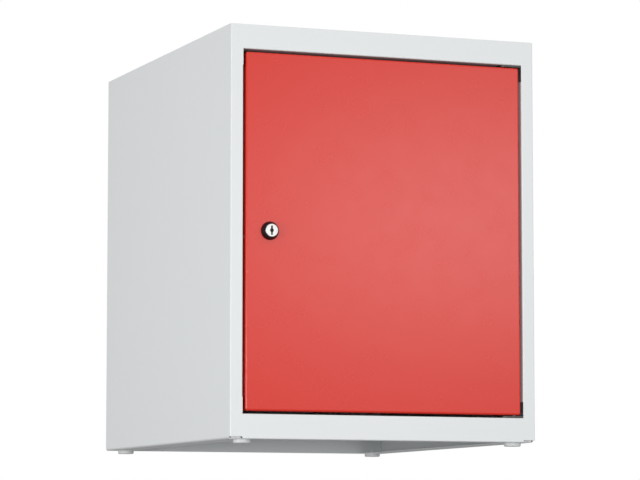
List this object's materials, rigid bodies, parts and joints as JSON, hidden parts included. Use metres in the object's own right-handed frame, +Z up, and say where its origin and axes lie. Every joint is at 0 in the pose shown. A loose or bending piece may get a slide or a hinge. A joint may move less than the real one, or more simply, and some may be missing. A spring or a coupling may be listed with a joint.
{
  "type": "school locker",
  "caption": "Box-shaped sheet-steel school locker with a flush pivot-hung door, a cam lock, a folded front frame and low round feet.",
  "frame": {"origin": "on the surface the feet stand on, under the middle of the carcass", "axes": "+X to the right across the door's front, +Y from the door to the back, +Z up"},
  "size_m": [0.4, 0.508, 0.5045],
  "materials": {
    "grey_powder_coat": "light grey powder coat, satin, fine orange peel",
    "red_powder_coat": "red powder coat, satin, fine orange peel",
    "dark_steel": "dark phosphated steel",
    "zinc_plate": "bright zinc plate",
    "nickel_plate": "nickel plate, satin",
    "black_plastic": "black moulded plastic",
    "black_rubber": "black rubber",
    "grey_plastic": "light grey moulded plastic"
  },
  "bodies": {
    "carcass": {"left_side_panel": "grey_powder_coat", "right_side_panel": "grey_powder_coat", "top_panel": "grey_powder_coat", "floor_panel": "grey_powder_coat", "rear_panel": "grey_powder_coat", "upper_hinge_bracket": "dark_steel", "lower_hinge_bracket": "dark_steel", "upper_hinge_pin": "zinc_plate", "lower_hinge_pin": "zinc_plate", "hinge_rivets": "zinc_plate", "upper_door_buffer": "black_rubber", "lower_door_buffer": "black_rubber", "foot_front_left": "grey_plastic", "foot_front_right": "grey_plastic", "foot_rear_left": "grey_plastic", "foot_rear_right": "grey_plastic"},
    "door": {"door_skin": "red_powder_coat", "door_stiffener": "red_powder_coat", "upper_hinge_bush": "black_plastic", "lower_hinge_bush": "black_plastic", "lock_housing": "nickel_plate", "lock_rosette": "black_plastic", "lock_nut": "zinc_plate"},
    "lock_core": {"lock_plug": "nickel_plate", "lock_cam": "zinc_plate", "cam_washer": "zinc_plate", "cam_screw": "zinc_plate"}
  },
  "joints": [
    {"name": "door_hinge", "type": "hinge", "parent": "carcass", "child": "door", "pos_m": [0.1742, -0.244, 0.2545], "axis": [0, 0, 1], "range_deg": [0, 110]},
    {"name": "lock_turn", "type": "hinge", "parent": "door", "child": "lock_core", "pos_m": [-0.15, -0.25, 0.2545], "axis": [0, 1, 0], "range_deg": [0, 90]}
  ]
}
